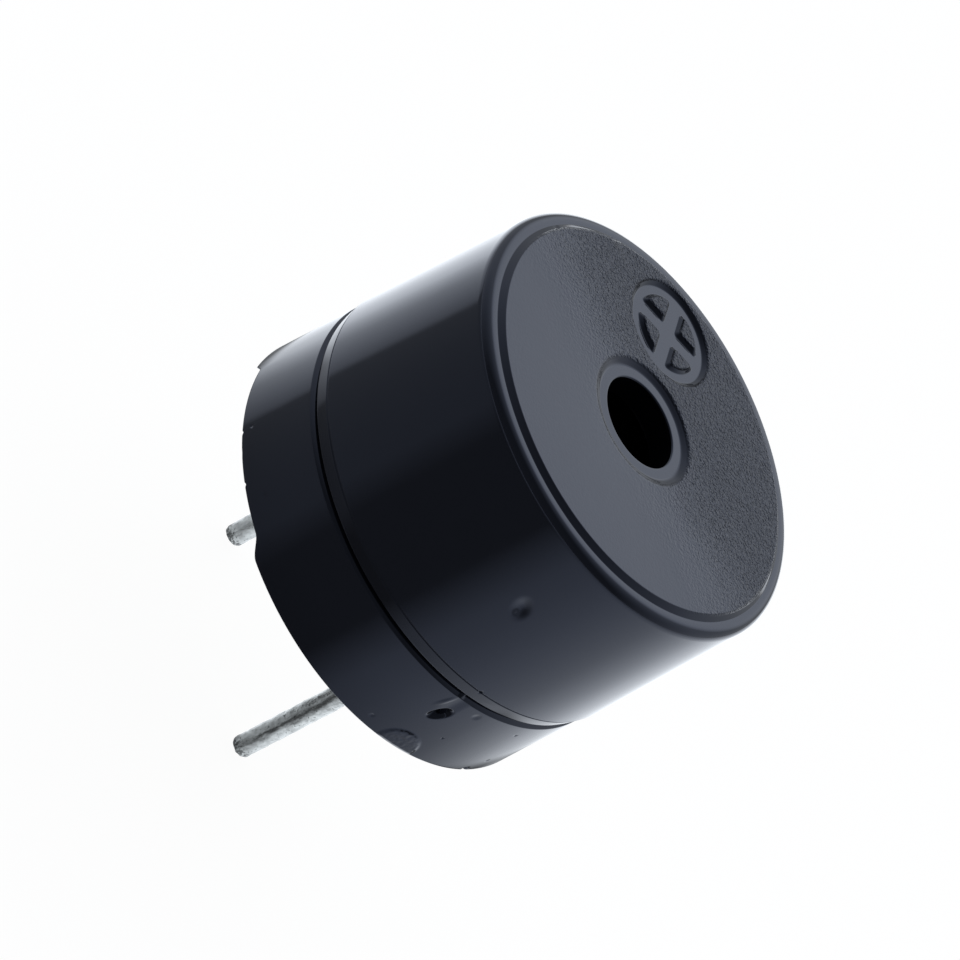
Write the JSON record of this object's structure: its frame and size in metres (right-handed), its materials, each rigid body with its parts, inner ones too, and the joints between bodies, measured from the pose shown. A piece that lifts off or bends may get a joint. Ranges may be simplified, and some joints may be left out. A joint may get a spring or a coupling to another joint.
{
  "type": "magnetic buzzer",
  "caption": "Round black board-mount magnetic buzzer with a central sound hole, a plus mark on its face and straight tinned pins below.",
  "frame": {"origin": "centre of the seating plane under the base's rim, midway between the pins", "axes": "+Z out of the sounding face, along the pins and the sound hole; +X towards the negative pin, so the pins lie on X; +Y completes a right-handed frame"},
  "size_m": [0.012, 0.012, 0.014],
  "materials": {
    "case_plastic": "black moulded plastic, glossy on the wall, fine spark-eroded grain on the face",
    "diaphragm_steel": "thin rolled steel",
    "plated_iron": "zinc-plated soft iron",
    "magnet_ferrite": "dark sintered ferrite",
    "coil_wire": "enamelled copper wire",
    "board": "glass-epoxy board with green solder resist",
    "pad_copper": "copper foil",
    "tinned_pin": "dull tin over drawn wire",
    "solder": "bright solder",
    "epoxy": "dark potting epoxy"
  },
  "bodies": {
    "root": {"upper_case": "case_plastic", "base_housing": "case_plastic", "diaphragm": "diaphragm_steel", "armature_disc": "plated_iron", "ring_magnet": "magnet_ferrite", "coil": "coil_wire", "core": "plated_iron", "yoke_plate": "plated_iron", "circuit_board": "board", "positive_pad": "pad_copper", "negative_pad": "pad_copper", "positive_pin": "tinned_pin", "negative_pin": "tinned_pin", "positive_solder": "solder", "negative_solder": "solder", "sealing_bead": "epoxy"}
  },
  "joints": []
}
